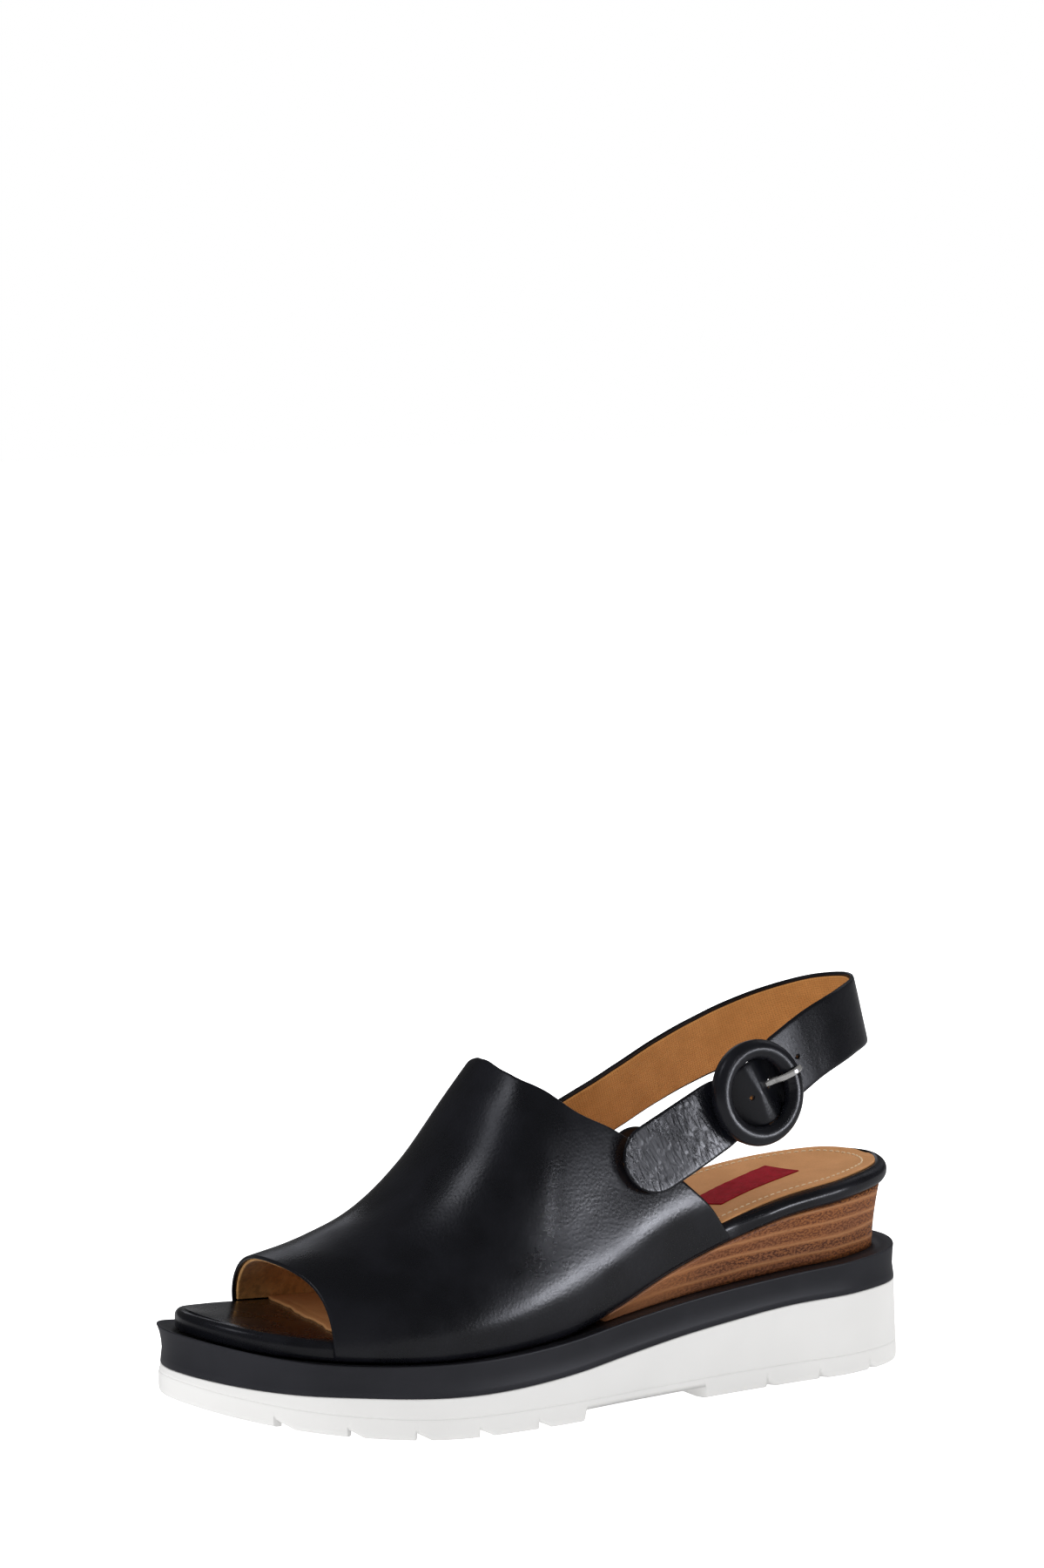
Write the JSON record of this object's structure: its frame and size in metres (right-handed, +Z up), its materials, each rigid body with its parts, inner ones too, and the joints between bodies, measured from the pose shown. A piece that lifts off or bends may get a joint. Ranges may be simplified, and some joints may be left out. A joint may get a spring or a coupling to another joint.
{
  "type": "wedge sandal",
  "caption": "Left peep-toe wedge sandal with a smooth leather upper, a sling strap with a covered round buckle, a stacked wedge, a platform and a moulded outsole.",
  "frame": {"origin": "bottom centre of the bounding box, on the ground under the shoe", "axes": "+Y from toe to heel, +X to the lateral (buckle) side of this left shoe, +Z up"},
  "size_m": [0.0962, 0.2586, 0.1277],
  "materials": {
    "white_rubber": "matt moulded white",
    "black_wrap": "satin black wrap",
    "foam": "closed-cell foam",
    "wood": "stacked layers, satin lacquer",
    "steel": "bright steel",
    "board": "fibreboard",
    "black_leather": "smooth calf, soft sheen",
    "tan_leather": "matt tan leather",
    "red_fabric": "woven tab",
    "silver": "polished nickel"
  },
  "bodies": {
    "shoe": {"outsole": "white_rubber", "platform_wrap": "black_wrap", "platform_core": "foam", "wedge": "wood", "shank": "steel", "shank_rivet_front": "steel", "shank_rivet_rear": "steel", "insole_board": "board", "footbed_foam": "foam", "footbed_cover": "black_leather", "sock_lining": "tan_leather", "sock_label": "red_fabric", "vamp": "black_leather", "vamp_lining": "tan_leather", "heel_nail_1": "steel", "heel_nail_2": "steel", "heel_nail_3": "steel", "heel_nail_4": "steel", "heel_nail_5": "steel"},
    "sling": {"sling_strap": "black_leather", "sling_lining": "tan_leather", "buckle_chape": "black_leather"},
    "buckle": {"buckle_frame": "steel", "buckle_wrap": "black_leather"},
    "prong": {"buckle_prong": "silver"}
  },
  "joints": [
    {"name": "sling_swing", "type": "hinge", "parent": "shoe", "child": "sling", "pos_m": [0, 0.02, 0.079], "axis": [1, 0, 0], "range_deg": [-15, 20]},
    {"name": "buckle_tilt", "type": "hinge", "parent": "sling", "child": "buckle", "pos_m": [0.03416, 0.05959, 0.09694], "axis": [-0.0846, -0.4295, 0.8991], "range_deg": [-4, 4]},
    {"name": "prong_lift", "type": "hinge", "parent": "buckle", "child": "prong", "pos_m": [0.03416, 0.05959, 0.09694], "axis": [0.0846, 0.4295, -0.8991], "range_deg": [0, 9]}
  ]
}
